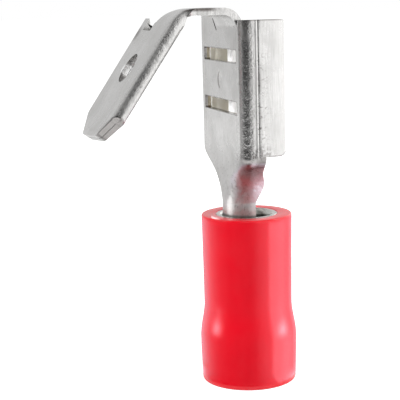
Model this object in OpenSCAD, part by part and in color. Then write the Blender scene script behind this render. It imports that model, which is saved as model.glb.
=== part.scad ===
// Insulated piggyback spade terminal, 6.35 series, for 0.5 to 1.5 mm2 wire.
// Units are millimetres. Z runs up the crimp barrel from the sleeve's wire
// end, X runs across the blade, and -Y is the side the male tab is on.
// Three pieces: one folded strip-metal body, one support ferrule, one sleeve.

/* [Strip metal] */
// Thickness of the tinned brass strip
sheet_t = 0.4; // [0.3:0.01:0.5]

/* [Receptacle] */
// Overall width across the two rolled wings
recept_w = 7.8; // [6:0.1:9.6]
// Overall depth from the floor to the top of the rolls
recept_d = 2.9; // [2.4:0.1:3.6]
// Length of the rolled wings
wing_len = 7.72; // [6:0.02:9.3]
// Distance from the barrel axis to the floor's outer face
floor_y = 1.5; // [1.3:0.05:1.8]
// Outer radius of the bend between floor and wing
bend_r = 0.6; // [0.5:0.05:0.75]
// Outer radius of each roll
roll_r = 1.0; // [0.85:0.05:1.2]
// Angle each roll turns through
roll_a = 222; // [185:1:235]
// Height of the two cross slots in the floor
slot_h = 0.73; // [0.5:0.01:0.9]
// Distance between the slots' centres
slot_gap = 2.93; // [2.4:0.01:3.5]
// Distance from the mouth to the upper slot's centre
slot_in = 2.05; // [1.7:0.01:2.5]
// Diameter of the round detent between the slots
detent_d = 1.0; // [0.8:0.05:1.2]

/* [Bridge and tab] */
// Width of the bridge strip where it joins the tab
bridge_w = 3.0; // [2.5:0.05:3.6]
// Straight length of the bridge
bridge_len = 1.54; // [1.25:0.01:1.85]
// Outer radius of the bend from the floor into the bridge
knee_r = 1.14; // [0.95:0.01:1.35]
// Outer radius of the bend from the bridge into the tab
shoulder_r = 1.85; // [1.5:0.05:2.2]
// Width of the male tab
tab_w = 6.35; // [5.3:0.05:7.6]
// Length of the male tab
tab_len = 7.45; // [6.2:0.05:8.9]
// Angle between the tab and the upright
tab_lean = 34.5; // [28:0.5:41]
// Diameter of the tab's round hole
hole_d = 2.0; // [1.6:0.05:2.4]
// Distance from the tab's tip to the hole's centre
hole_in = 4.45; // [3.7:0.05:5.3]

/* [Barrel and ferrule] */
// Outer diameter of the crimp barrel
barrel_od = 2.84; // [2.4:0.02:3.0]
// Length of the crimp barrel
barrel_len = 5.2; // [4.4:0.1:6.2]
// Outer diameter of the ferrule's upper tube
ferrule_od = 3.68; // [3.5:0.02:4.4]
// Outer diameter of the ferrule's flared lower end
ferrule_low_d = 4.5; // [4.4:0.05:4.8]

/* [Sleeve] */
// Length of the insulating sleeve
sleeve_len = 10.25; // [8.5:0.05:12.3]
// Outer diameter at the sleeve's upper end
sleeve_od = 5.44; // [5:0.02:6.5]
// Outer diameter at the waist
waist_od = 5.33; // [5:0.02:6.4]
// Outer diameter at the bulge over the ferrule's flare
bulge_od = 5.87; // [5.4:0.02:7]

/* [Hidden] */
$fn = 96;

t = sheet_t;
wx = recept_w/2;                       // outer face of the side walls
fx = wx - bend_r;                      // half width of the flat floor
roll_cx = wx - roll_r;
roll_cy = -floor_y + recept_d - roll_r;
barrel_r = barrel_od/2;
barrel_top = sleeve_len - 0.85;
neck_foot = sleeve_len + 0.75;         // the channel is parallel below this
neck_top = neck_foot + 3.1;            // the wings' lower ends
mouth = neck_top + wing_len;
knee_z = mouth - 0.46;                 // where the floor starts to bend over
bridge_z = knee_z + knee_r;            // top face of the bridge
knee_y = -(floor_y - t) - knee_r;
shoulder_y = knee_y - bridge_len;
shoulder_z = bridge_z - shoulder_r;
bridge_x1 = tab_w/2 - t;                 // near edge, where it meets the tab
bridge_x0 = bridge_x1 - bridge_w;        // far edge there
knee_x1 = min(bridge_x1 + 0.35, fx - 0.05);
knee_x0 = bridge_x0 - 1.15;              // the strip widens towards the floor
waist_x0 = bridge_x1 - 0.5*bridge_w;    // and narrows between floor and tab
fold_r = 0.75*t;                         // corner radius of the folded edges
far_x = 1.3;                             // width of the tab's far shoulder
turn = 90 - tab_lean;
tab_y = shoulder_y - shoulder_r*sin(turn);
tab_z = shoulder_z + shoulder_r*cos(turn);
chamf_w = 0.25*tab_w;
chamf_l = 1.46;
slot_x = fx - 0.36;

// a strip of metal bent round [cx, cy], outer radius r, from angle a0 to a1
module bent(cx, cy, r, a0, a1, th = t) {
    translate([cx, cy]) intersection() {
        difference() { circle(r); circle(r - th); }
        polygon(concat([[0, 0]], [for (i = [0:6]) let (a = a0 + (a1 - a0)*i/6)
            1.3*r*[cos(a), sin(a)]]));
    }
}

module slot2d(w, h, r = 0.13) {
    square([w - 2*r, h], center = true);
    square([w, h - 2*r], center = true);
    for (x = [-1, 1], y = [-1, 1]) translate([x*(w/2 - r), y*(h/2 - r)]) circle(r);
}

module wing2d() {
    bent(fx, -floor_y + bend_r, bend_r, -90, 0);
    translate([wx - t, -floor_y + bend_r]) square([t, roll_cy + floor_y - bend_r]);
    bent(roll_cx, roll_cy, roll_r, 0, roll_a);
}

module receptacle() {
    rs = (detent_d*detent_d/4 + 0.0144)/0.24;
    difference() {
        union() {
            translate([0, 0, neck_top]) linear_extrude(wing_len) {
                translate([-fx, -floor_y]) square([2*fx, t]);
                wing2d();
                mirror([1, 0]) wing2d();
            }
            translate([0, -floor_y - rs + 0.12, mouth - slot_in - slot_gap/2]) intersection() {
                sphere(rs + t);
                translate([-1, rs - 0.12 + t/2, -1]) cube([2, t/2 + 0.12, 2]);
            }
        }
        // the floor gives way to the bridge at the mouth
        translate([knee_x0, -floor_y - 1, knee_z]) cube([knee_x1 - knee_x0, 1 + t, 2]);
        // slanted relief slit beside the bridge
        translate([knee_x0 - 0.07, -floor_y - 0.5, mouth + 0.02]) rotate([0, 20, 0])
            translate([-0.06, 0, -0.75]) cube([0.14, 1.1, 1.2]);
        translate([0, -floor_y - rs + 0.12, mouth - slot_in - slot_gap/2]) sphere(rs);
        for (k = [0, 1]) translate([0, -floor_y - 1, mouth - slot_in - k*slot_gap])
            rotate([-90, 0, 0]) linear_extrude(2) slot2d(2*slot_x, slot_h);
        // the rolls' ends are cut back a little towards their crowns
        for (m = [0, 1], k = [0, 1]) mirror([m, 0, 0]) translate([roll_cx, roll_cy + 0.5*roll_r, neck_top + k*wing_len])
            mirror([0, 0, 1 - k]) rotate([-24, 0, 0]) translate([-1.3*roll_r, 0, 0]) cube([2.6*roll_r, 2*roll_r, 1]);
    }
}

module bridge() {
    intersection() {
        translate([-tab_w, 0, 0]) rotate([90, 0, 90]) linear_extrude(2*tab_w) {
            bent(knee_y, knee_z, knee_r, 0, 90);
            translate([shoulder_y, bridge_z - t]) square([bridge_len, t]);
            bent(shoulder_y, shoulder_z, shoulder_r, 90, 90 + turn);
        }
        // seen from above the strip tapers from the knee to the shoulder
        translate([0, 0, shoulder_z - 2]) linear_extrude(8) polygon([
            [knee_x0, 0], [knee_x1, 0], [knee_x1, shoulder_y], [bridge_x1, shoulder_y - 0.63],
            [bridge_x1, -20], [bridge_x0, -20], [bridge_x0, tab_y], [waist_x0, shoulder_y],
            [waist_x0, shoulder_y + 0.4*bridge_len], [knee_x0, knee_y - 0.1]]);
    }
}

// outline of the tab seen square on, from its top edge down to the tip. The far
// shoulder stands higher than the fold line, and the tip is cut a little askew.
shoulder_up = 0.3;
tip_skew = 0.13;
module tab2d(in = 0) {
    w = tab_w/2 - in;
    c = chamf_w - in*0.41;
    polygon([[-w, shoulder_up], [0, shoulder_up], [0, 0], [w, 0], [w, chamf_l + tip_skew - tab_len],
        [w - c, in + tip_skew - tab_len], [c - w, in - tip_skew - tab_len], [-w, chamf_l - tip_skew - tab_len]]);
}

module tab() {
    // local y is the thickness, 0 at the outer face
    translate([0, tab_y, tab_z]) rotate([-tab_lean, 0, 0]) difference() {
        intersection() {
            translate([0, 0, -tab_len - 1]) linear_extrude(tab_len + 1 + shoulder_up) {
                // the folded edges are pressed nearly flat
                translate([fold_r - tab_w/2, 0]) square([tab_w - 2*fold_r, 2*t]);
                translate([-tab_w/2, fold_r]) square([tab_w, 2*(t - fold_r)]);
                for (s = [-1, 1], y = [fold_r, 2*t - fold_r])
                    translate([s*(tab_w/2 - fold_r), y]) circle(fold_r);
            }
            translate([0, 3*t, 0]) rotate([90, 0, 0]) linear_extrude(4*t) tab2d();
        }
        // hole
        translate([0, -1, hole_in - tab_len]) rotate([-90, 0, 0]) cylinder(d = hole_d, h = 3);
        // the two layers part a little at the tip
        translate([0, t + 0.03, 0]) rotate([90, 0, 0]) linear_extrude(0.06) difference() {
            translate([0, -tab_len]) square([tab_w, 2*chamf_l + 0.1], center = true);
            tab2d(0.22);
        }
        // seam where the two folded flaps meet on the back
        translate([-0.03, 2*t - 0.2, -tab_len - 1]) cube([0.06, 1, tab_len + 2]);
        // relief notch beside the bridge
        translate([far_x - tab_w/2, -1, -0.6]) cube([bridge_x0 - far_x + tab_w/2, 3, 1.2]);
        translate([far_x - tab_w/2, -1, 0]) cube([tab_w, 3, 1]);
        // the flaps end a little lower than the fold
        translate([-tab_w, t, -0.2]) cube([2*tab_w, 2*t, 1]);
    }
}

// neck: sections blend the flat floor into a round channel
nv = 8;
ns = 20;
function blend(u) = 1 - exp(-(u/0.2)*(u/0.2));
function sec_f(u) = 0.05 + (fx - 0.05)*(1 - pow(u, 4))/(1 + pow(u/0.31, 2.2));
function sec_r(u) = bend_r + (barrel_r - 0.02 - bend_r)*blend(u);
function sec_w(u) = 0.8*exp(-(u/0.2)*(u/0.2)) + 0.5*exp(-pow((u - 0.62)/0.28, 2));
function sec_y(u) = floor_y + (barrel_r - 0.02 - floor_y)*u;
// [z, half flat, bend radius, wall, floor distance, inset, thickness]
SEC = concat(
    [[neck_top + 0.35, fx, bend_r - 0.02, 0.8, floor_y - 0.02, t - 0.04],
     [neck_top - 0.001, fx, bend_r - 0.02, 0.8, floor_y - 0.02, t - 0.04]],
    [for (i = [1:ns]) let (u = i/ns) [neck_top - u*(neck_top - neck_foot),
        sec_f(u), sec_r(u), sec_w(u), sec_y(u), t - 0.04*(1 - u < 0.2 ? 1 : u < 0.1 ? 1 : 0.5)]],
    [[barrel_top + 0.2, 0.05, barrel_r - 0.03, sec_w(1), barrel_r - 0.02, t - 0.05],
     [barrel_top - 0.35, 0.05, barrel_r - 0.07, 0.03, barrel_r - 0.03, t - 0.08]]);
function half_out(s) = concat(
    [[s[1]/2, -s[4]]],
    [for (i = [0:nv]) let (a = 90*i/nv) [s[1] + s[2]*sin(a), -s[4] + s[2]*(1 - cos(a))]],
    [[s[1] + s[2], -s[4] + s[2] + s[3]]]);
function half_in(s) = let (th = s[5]) concat(
    [[s[1]/2, -s[4] + th]],
    [for (i = [0:nv]) let (a = 90*i/nv) [s[1] + (s[2] - th)*sin(a), -s[4] + s[2] - (s[2] - th)*cos(a)]],
    [[s[1] + s[2] - th, -s[4] + s[2] + s[3]]]);
function rev(v) = [for (i = [len(v) - 1:-1:0]) v[i]];
function flip(v) = [for (p = v) [-p[0], p[1]]];
function loop2(s) = concat(rev(flip(half_out(s))), [[0, -s[4]]], half_out(s),
    rev(half_in(s)), [[0, -s[4] + s[5]]], flip(half_in(s)));
function lift(v, z) = [for (p = v) [p[0], p[1], z]];

module neck() {
    m = len(loop2(SEC[0]));
    h = m/2;
    n = len(SEC);
    pts = [for (s = SEC) each lift(loop2(s), s[0])];
    sides = [for (k = [0:n - 2], i = [0:m - 1]) let (a = k*m + i, b = k*m + (i + 1)%m,
        c = b + m, d = a + m) each [[a, b, c], [a, c, d]]];
    // the end caps are strips of quads across the sheet
    caps = [for (i = [0:h - 2]) each [[i, m - 1 - i, m - 2 - i], [i, m - 2 - i, i + 1]]];
    ends = [for (f = caps) each [f, [f[0] + (n - 1)*m, f[2] + (n - 1)*m, f[1] + (n - 1)*m]]];
    polyhedron(points = pts, faces = concat(sides, ends), convexity = 8);
}

module barrel() {
    translate([0, 0, barrel_top - barrel_len]) difference() {
        cylinder(r = barrel_r, h = barrel_len);
        translate([0, 0, -1]) cylinder(r = barrel_r - t, h = barrel_len + 2);
        // butt seam at the back
        translate([-0.03, 0, -1]) cube([0.06, barrel_r + 1, barrel_len + 2]);
    }
}

module terminal_body() {
    color("Silver") {
        union() {
            receptacle();
            bridge();
            tab();
            neck();
            barrel();
        }
    }
}

// ferrule and sleeve share these heights
flare_hi = 0.475*sleeve_len;
flare_lo = 0.33*sleeve_len;
ferrule_lo = 0.07*sleeve_len;
ferrule_r = ferrule_od/2;
ferrule_low_r = ferrule_low_d/2;

module support_ferrule() {
    color("Gainsboro") rotate_extrude() polygon([
        [barrel_r, flare_hi - 0.25], [barrel_r, sleeve_len - 0.42],
        [barrel_r + 0.12, sleeve_len - 0.04], [barrel_r + 0.17, sleeve_len],
        [ferrule_r - 0.05, sleeve_len], [ferrule_r, sleeve_len - 0.05],
        [ferrule_r, flare_hi], [ferrule_low_r, flare_lo], [ferrule_low_r, ferrule_lo],
        [ferrule_low_r - 0.38, ferrule_lo], [ferrule_low_r - 0.38, flare_lo - 0.15]]);
}

function ease(x) = let (c = min(1, max(0, x))) c*c*(3 - 2*c);
bulge_z = 0.26*sleeve_len;
waist_z = 0.47*sleeve_len;
function sleeve_r(z) = z > waist_z
    ? waist_od/2 + (sleeve_od - waist_od)/2*pow((z - waist_z)/(sleeve_len - waist_z), 1.3)
    : z > bulge_z
    ? bulge_od/2 - (bulge_od - waist_od)/2*ease((z - bulge_z)/(waist_z - bulge_z))
    : bulge_od/2 - 0.08*pow((bulge_z - z)/bulge_z, 1.6);

module insulating_sleeve() {
    er = 0.12;
    foot = sleeve_r(er);
    color("Red") rotate_extrude() polygon(concat(
        [[ferrule_low_r + 0.06, 0], [foot - er, 0]],
        [for (a = [-60:30:0]) [foot - er + er*cos(a), er + er*sin(a)]],
        [for (i = [1:26]) let (z = er + (waist_z - er)*i/26) [sleeve_r(z), z]],
        [for (i = [1:6]) let (z = waist_z + (sleeve_len - 0.06 - waist_z)*i/6) [sleeve_r(z), z]],
        [[sleeve_od/2 - 0.06, sleeve_len], [ferrule_r, sleeve_len],
         [ferrule_r, flare_hi], [ferrule_low_r, flare_lo], [ferrule_low_r, 0.35]]));
}

terminal_body();
support_ferrule();
insulating_sleeve();
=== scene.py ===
import math

import bmesh
import bpy
from bpy.props import FloatProperty, FloatVectorProperty, IntProperty, PointerProperty
from mathutils import Matrix, Vector


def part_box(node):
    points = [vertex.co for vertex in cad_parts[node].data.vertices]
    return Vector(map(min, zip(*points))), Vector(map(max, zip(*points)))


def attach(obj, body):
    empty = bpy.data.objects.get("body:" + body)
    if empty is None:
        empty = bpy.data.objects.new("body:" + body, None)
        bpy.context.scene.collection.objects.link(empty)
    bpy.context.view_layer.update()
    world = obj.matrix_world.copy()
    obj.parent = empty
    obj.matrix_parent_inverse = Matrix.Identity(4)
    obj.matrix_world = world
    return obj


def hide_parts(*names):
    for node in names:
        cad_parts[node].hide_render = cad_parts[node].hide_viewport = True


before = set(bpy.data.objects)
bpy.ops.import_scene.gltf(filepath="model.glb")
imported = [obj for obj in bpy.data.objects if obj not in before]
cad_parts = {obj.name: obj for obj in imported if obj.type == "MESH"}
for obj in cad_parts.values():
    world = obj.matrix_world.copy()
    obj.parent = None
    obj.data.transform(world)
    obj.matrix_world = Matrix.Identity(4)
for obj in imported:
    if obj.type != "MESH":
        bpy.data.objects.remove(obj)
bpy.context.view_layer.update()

bl_info = {
    "name": "Piggyback Spade Terminal",
    "version": (1, 0, 0),
    "blender": (4, 5, 0),
    "location": "3D View > Sidebar > Terminal",
    "description": "Builds an insulated piggyback spade terminal on its packed frame",
    "category": "Object",
}

MM = 0.001
WHITE = (1, 1, 1, 1)

# Places that the pieces share, in millimetres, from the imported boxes
BODY_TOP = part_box("terminal_body")[1] / MM
BRIDGE_Z, WING_X = BODY_TOP.z, BODY_TOP.x
SLEEVE_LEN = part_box("insulating_sleeve")[1].z / MM
NECK_FOOT = SLEEVE_LEN + 0.75
NECK_TOP = NECK_FOOT + 3.1
FLARE_TOP, FLARE_FOOT = 0.475 * SLEEVE_LEN, 0.33 * SLEEVE_LEN


# --- settings

def length(name, text, value, low=0.0, high=0.05):
    """A length property. The value is given in millimetres and kept in metres."""
    return FloatProperty(name=name, description=text, default=value * MM, min=low, max=high,
                         unit="LENGTH", subtype="DISTANCE", precision=6)


def colour(name, text, value):
    """A colour property from an sRGB hex value, kept linear."""
    return FloatVectorProperty(name=name, description=text, default=linear(value),
                               size=3, min=0, max=1, subtype="COLOR")


def linear(value):
    """Turns an sRGB hex value to linear red, green and blue."""
    parts = [int(value[i:i + 2], 16) / 255 for i in (1, 3, 5)]
    return tuple(c / 12.92 if c <= 0.04045 else ((c + 0.055) / 1.055) ** 2.4 for c in parts)


class StripSettings(bpy.types.PropertyGroup):
    """Sizes of the one folded strip of metal"""
    sheet: length("Sheet", "Thickness of the strip", 0.4)
    floor: length("Floor distance", "From the barrel's axis to the floor's outer face", 1.5)
    depth: length("Depth", "From the floor to the top of the rolls", 2.9)
    bend: length("Bend radius", "Outer radius between floor and wing", 0.6)
    roll: length("Roll radius", "Outer radius of each roll", 1.0)
    roll_turn: FloatProperty(name="Roll turn", description="Angle that each roll turns through",
                             default=math.radians(222), subtype="ANGLE")
    wing: length("Wing length", "Length of the rolled wings", 7.72)
    slot_height: length("Slot height", "Height of each cross slot", 0.73)
    slot_half: length("Slot half width", "Half the width of each cross slot", 2.94)
    slot_gap: length("Slot spacing", "Between the slots' centres", 2.93)
    slot_in: length("Slot inset", "From the mouth to the upper slot's centre", 2.05)
    detent: length("Detent", "Diameter of the round detent", 1.0)
    detent_depth: length("Detent depth", "How far the detent stands in", 0.12)
    knee: length("Knee radius", "Outer radius of the bend from floor to bridge", 1.14)
    shoulder: length("Shoulder radius", "Outer radius of the bend from bridge to tab", 1.85)
    bridge: length("Bridge width", "Width of the bridge at the tab", 3.0)
    bridge_len: length("Bridge length", "Straight length of the bridge", 1.54)
    tab_width: length("Tab width", "Width of the male tab", 6.35)
    tab_length: length("Tab length", "Length of the male tab", 7.45)
    tab_lean: FloatProperty(name="Tab lean", description="Angle between the tab and the upright",
                            default=math.radians(34.5), subtype="ANGLE")
    hole: length("Hole", "Diameter of the tab's round hole", 2.0)
    hole_in: length("Hole inset", "From the tab's tip to the hole's centre", 4.45)
    barrel: length("Barrel diameter", "Outer diameter of the crimp barrel", 2.84)
    barrel_len: length("Barrel length", "Length of the crimp barrel", 5.2)
    edge: length("Edge round", "Radius left on the cut edges by tumbling", 0.045)


class SleeveSettings(bpy.types.PropertyGroup):
    """Sizes of the support ferrule and the insulating sleeve"""
    ferrule: length("Ferrule diameter", "Outer diameter of the ferrule's upper tube", 3.68)
    ferrule_low: length("Ferrule flare", "Outer diameter of its flared lower end", 4.5)
    rim: length("Sleeve rim", "Outer diameter at the sleeve's upper end", 5.44)
    waist: length("Sleeve waist", "Outer diameter at the waist", 5.33)
    bulge: length("Sleeve bulge", "Outer diameter over the ferrule's flare", 5.87)
    segments: IntProperty(name="Segments", description="Facets round each turned piece",
                          default=128, min=32, max=256)


class FinishSettings(bpy.types.PropertyGroup):
    """Colours of the metals and the plastic"""
    tin: colour("Tin plate", "Bright tin plate over brass", "#C6C5C4")
    tin_dull: colour("Tin plate, handled", "The same plate where it is rubbed and smudged", "#B2B1AF")
    # the thin plate's colour is lifted close to white: a brass tint, and also painted light for the receptacle's
    # shaded cavity
    inside: colour("Thin plate", "Inside the receptacle, where brass shows through", "#FBF7EA")
    punched: colour("Punched walls", "The bare brass walls of the punched slots", "#8E8570")
    # this dark colour paints press marks, and also painted shade at the notch, curl, folds, neck foot, bore and
    # detent, and in the ferrule's corner
    mark: colour("Press marks", "Burnished marks and stains on the plate", "#4C4441")
    ferrule_tin: colour("Ferrule tin", "Tin plate on the ferrule", "#C9CBC4")
    red: colour("Red PVC", "Moulded red of the sleeve", "#DF001B")
    red_deep: colour("Red PVC, deep", "The same red where the wall is thick", "#CE0019")
    floor: colour("Floor", "Pale studio floor", "#E8E8E8")


# --- meshes

class Sheet:
    """One sheet of metal as a grid of cells, with a point on both faces at every corner."""

    def __init__(self):
        self.points, self.cells = {}, []

    def row(self, key, columns, point):
        """Keeps a row's points under its key, and gives the key back."""
        for c in columns:
            self.points[key, c] = point(c)
        return key

    def run(self, rows, columns):
        """Joins each row to the next one over these columns."""
        for upper, lower in zip(rows, rows[1:]):
            for a, b in zip(columns, columns[1:]):
                self.cells.append(((upper, a), (upper, b), (lower, b), (lower, a)))

    def piece(self, name):
        """The sheet as a closed piece, with a wall wherever a cell has no neighbour."""
        index, co, faces, edges = {}, [], [], {}
        for cell in self.cells:
            for key in cell:
                if key not in index:
                    index[key] = len(co)
                    co.extend(self.points[key])
            loop = [index[k] for k in cell]
            faces.append(loop)
            faces.append([i + 1 for i in reversed(loop)])
            for a, b in zip(loop, loop[1:] + loop[:1]):
                edges.setdefault(frozenset((a, b)), []).append((a, b))
        for sides in edges.values():
            if len(sides) == 1:
                a, b = sides[0]
                faces.append([b, a, a + 1, b + 1])
        return new_piece(name, co, faces)


def new_piece(name, co, faces):
    """A closed piece of the scene from its corners and faces."""
    mesh = bpy.data.meshes.new(name)
    mesh.from_pydata(co, [], faces)
    clean(mesh)
    piece = bpy.data.objects.new(name, mesh)
    bpy.context.scene.collection.objects.link(piece)
    return piece


def clean(mesh):
    """Joins doubled corners and turns every face outwards."""
    bm = bmesh.new()
    bm.from_mesh(mesh)
    bmesh.ops.remove_doubles(bm, verts=bm.verts, dist=1e-5)
    bmesh.ops.dissolve_degenerate(bm, edges=bm.edges, dist=1e-5)
    bmesh.ops.recalc_face_normals(bm, faces=bm.faces)
    bm.to_mesh(mesh)
    bm.free()


def prism(name, outline, low, high, point):
    """A closed prism for cutting. outline is in u and v, low and high in w, and point turns them to x, y and z."""
    n = len(outline)
    co = [point(u, v, w) for w in (low, high) for u, v in outline]
    faces = [list(range(n)), list(range(2 * n - 1, n - 1, -1))]
    faces += [[i, (i + 1) % n, n + (i + 1) % n, n + i] for i in range(n)]
    return new_piece(name, co, faces)


def settle(piece):
    """Applies the modifiers that the piece carries."""
    bpy.context.view_layer.update()
    graph = bpy.context.evaluated_depsgraph_get()
    mesh = bpy.data.meshes.new_from_object(piece.evaluated_get(graph))
    piece.modifiers.clear()
    old, piece.data = piece.data, mesh
    bpy.data.meshes.remove(old)


def cut(piece, cutters):
    """Takes each cutter out of the piece, then removes it."""
    for c in cutters:
        step = piece.modifiers.new(c.name, "BOOLEAN")
        step.operation, step.object, step.solver = "DIFFERENCE", c, "EXACT"
    settle(piece)
    for c in cutters:
        mesh = c.data
        bpy.data.objects.remove(c)
        bpy.data.meshes.remove(mesh)
    clean(piece.data)


def round_edges(piece, radius, angle=38, segments=2):
    """Rounds the sharp edges and keeps the flats flat."""
    step = piece.modifiers.new("edges", "BEVEL")
    step.width, step.segments, step.limit_method = radius, segments, "ANGLE"
    step.angle_limit = math.radians(angle)
    step.miter_outer, step.use_clamp_overlap = "MITER_ARC", True
    settle(piece)
    clean(piece.data)
    piece.data.shade_smooth()
    piece.data.set_sharp_from_angle(angle=math.radians(35))
    weigh = piece.modifiers.new("normals", "WEIGHTED_NORMAL")
    weigh.keep_sharp, weigh.weight = True, 80
    settle(piece)


def lathe(name, profile, segments):
    """Turns a closed profile of radius and height round the Z axis, in millimetres."""
    n = len(profile)
    co = [(r * math.cos(a), r * math.sin(a), z)
          for k in range(segments) for a in [2 * math.pi * k / segments] for r, z in profile]
    faces = [[k * n + i, k * n + (i + 1) % n, (k + 1) % segments * n + (i + 1) % n,
              (k + 1) % segments * n + i] for k in range(segments) for i in range(n)]
    piece = new_piece(name, co, faces)
    piece.data.shade_smooth()
    piece.data.set_sharp_from_angle(angle=math.radians(40))
    return piece


def place(piece, node, material):
    """Brings a piece from millimetres to metres and puts it in its CAD node's place."""
    piece.data.transform(Matrix.Scale(MM, 4))
    piece.data.materials.clear()
    piece.data.materials.append(material)
    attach(piece, "root")
    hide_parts(node)


def arc(cx, cy, r, start, end, steps):
    """Points on an arc, angles in degrees."""
    turns = [math.radians(start + (end - start) * i / steps) for i in range(steps + 1)]
    return [(cx + r * math.cos(a), cy + r * math.sin(a)) for a in turns]


def ease(x):
    """Goes smoothly from 0 to 1 as x does, and stays there."""
    x = min(1, max(0, x))
    return x * x * (3 - 2 * x)


def blend(marks_and_shade, at):
    """The value at a place on a line of (place, value) marks, straight between them."""
    for (a, va), (b, vb) in zip(marks_and_shade, marks_and_shade[1:]):
        if at <= b:
            return va + (vb - va) * max(0, (at - a) / (b - a))
    return marks_and_shade[-1][1]


# --- strip

def build_strip(s):
    """Lays the strip out row by row, from the tab's tip over the bridge, down the floor and neck to the barrel."""
    mm = {k: getattr(s, k) / MM for k in s.__annotations__ if k not in ("roll_turn", "tab_lean")}
    t, floor, bend, roll = mm["sheet"], mm["floor"], mm["bend"], mm["roll"]
    fx = WING_X - bend
    roll_cx, roll_cy = WING_X - roll, -floor + mm["depth"] - roll
    mouth = NECK_TOP + mm["wing"]
    knee_r, sh_r = mm["knee"], mm["shoulder"]
    knee_z = BRIDGE_Z - knee_r
    knee_y = -(floor - t) - knee_r
    sh_y, sh_z = knee_y - mm["bridge_len"], BRIDGE_Z - sh_r
    lean = s.tab_lean
    turn = math.pi / 2 - lean
    tab_y, tab_z = sh_y - sh_r * math.sin(turn), sh_z + sh_r * math.cos(turn)
    tw, tl = mm["tab_width"] / 2, mm["tab_length"]
    x1, x0 = tw - t, tw - t - mm["bridge"]
    kx1, kx0 = min(x1 + 0.35, fx - 0.05), x0 - 0.25
    waist = x1 - 0.5 * mm["bridge"]
    notch_in = 1.3          # from the tab's far edge to the notch
    cut_w, cut_l, skew = 0.25 * mm["tab_width"], 1.46, 0.13     # tip chamfers, and how askew the tip is
    corner = tw - cut_w
    crease = -0.52          # height of the pressed line along the walls
    sheet = Sheet()

    # a column is its kind and place, or its kind, side and step: f floor, b bend, w wall, r roll, k back
    # of the barrel, t tab, o fold and p flap
    snap = kx0 + (corner - x0) / (x1 - x0) * (kx1 - kx0)
    half = [0, .1, .2, .3, .4, -kx0, .6, .75, .95, 1.1, *(snap + w for w in (-.26, -.13, 0, .13, .26)),
            2.3, 2.6, mm["slot_half"], kx1, fx]
    flat = [("f", round(x, 5)) for x in sorted({*half, *(-x for x in half)})]
    over = [c for c in flat if round(kx0, 5) <= c[1] <= round(kx1, 5)]
    left_of = [c for c in flat if c[1] <= round(kx0, 5)]
    right_of = [c for c in flat if c[1] >= round(kx1, 5)]
    wall_y = [-0.62, -0.57, crease, -0.47, -0.38, -0.28, -0.1, 0.15, roll_cy]
    neck_wall = wall_y.index(-0.1)
    bend_steps, roll_steps, back_steps, fold_steps = 8, 24, 12, 12

    def mirror(cols):
        return [(c[0], -c[1], c[2]) for c in reversed(cols)]

    bends, coils, backs, folds = ([(kind, 1, i) for i in range(1, steps + 1)] for kind, steps in (
        ("b", bend_steps), ("r", roll_steps), ("k", back_steps), ("o", fold_steps)))
    walls = [("w", 1, i) for i in range(len(wall_y))]
    short = bends + walls[:neck_wall + 1]
    wing_right = bends + walls + coils
    wing_left = mirror(wing_right)
    full = wing_left + flat + wing_right
    neck = mirror(short) + flat + short
    round_all = mirror(short + backs) + flat + short + backs

    hollow_r = (mm["detent"] ** 2 / 4 + mm["detent_depth"] ** 2) / 2 / mm["detent_depth"]
    hollow_z = mouth - mm["slot_in"] - mm["slot_gap"] / 2

    def dish(x, z):
        """The pressed detent, with a soft lip where the punch drew the metal in."""
        d = math.hypot(x, z - hollow_z)
        if d > mm["detent"] / 2:
            return 0.0
        return 0.5 * (math.sqrt(hollow_r ** 2 - d * d) - hollow_r + mm["detent_depth"])

    pulled_in = 0.05                        # each bend ends this much further in than in the frame
    crease_deep, crease_wide = 0.035, 0.05
    toe_in = 0.04 / 0.38                    # lean of the wall below the crease
    mouth_cut, mouth_from, mouth_over = 0.44, 15, 150       # drop of the coils, and its degrees of roll
    wing_cut = math.tan(math.radians(24))   # slope of the wings' lower corners

    def wing_point(z, end=0):
        """A point of the receptacle's section. At an end the rolls are cut back towards their crowns."""
        def at(c):
            if c[0] == "f":
                d = dish(c[1], z)
                return Vector((c[1], -floor + d, z)), Vector((c[1], -floor + t + d, z))
            k, i = c[1], c[2]
            if c[0] == "b":
                a = math.pi / 2 * i / bend_steps
                return tuple(Vector((k * (fx + (r - pulled_in) * math.sin(a)), -floor + bend - r * math.cos(a), z))
                             for r in (bend, bend - t))
            if c[0] == "w":
                y = wall_y[i]
                line = crease_deep * math.exp(-((y - crease) / crease_wide) ** 2) + toe_in * max(0, crease - y)
                ends = [Vector((k * (WING_X - line), y, z)), Vector((k * (WING_X - t), y, z))]
            else:
                a = s.roll_turn * i / roll_steps
                ends = [Vector((k * (roll_cx + r * math.cos(a)), roll_cy + r * math.sin(a), z))
                        for r in (roll, roll - t)]
            if end == 1 and c[0] == "r":        # the blank's corners are cut, so the coils end lower
                for p in ends:
                    p.z -= mouth_cut * ease((math.degrees(a) - mouth_from) / mouth_over)
            elif end == -1:
                for p in ends:
                    p.z += wing_cut * max(0, p.y - roll_cy - 0.5 * roll)
            return tuple(ends)

        def askew(c):
            ends = at(c)
            if end == 1:        # the mouth is cut a little askew
                for p in ends:
                    p.z += -0.02 if p.x > 0 else 0.05 * -p.x if c[0] in "fb" else 0.19 - 0.3 * (p.y + 0.9)
            return ends
        return askew

    # sections of the neck, by the share of the half outline from the middle of the floor
    def spread(c):
        if c[0] == "f":
            return c[1]
        if c[0] == "b":
            return c[1] * (fx + bend * math.pi / 2 * c[2] / bend_steps)
        return c[1] * (fx + bend * math.pi / 2 + wall_y[c[2]] + floor - bend)

    total = spread(short[-1])
    barrel_r = mm["barrel"] / 2
    trough = barrel_r - 0.02        # the neck's foot just clears the ferrule's bore

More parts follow.
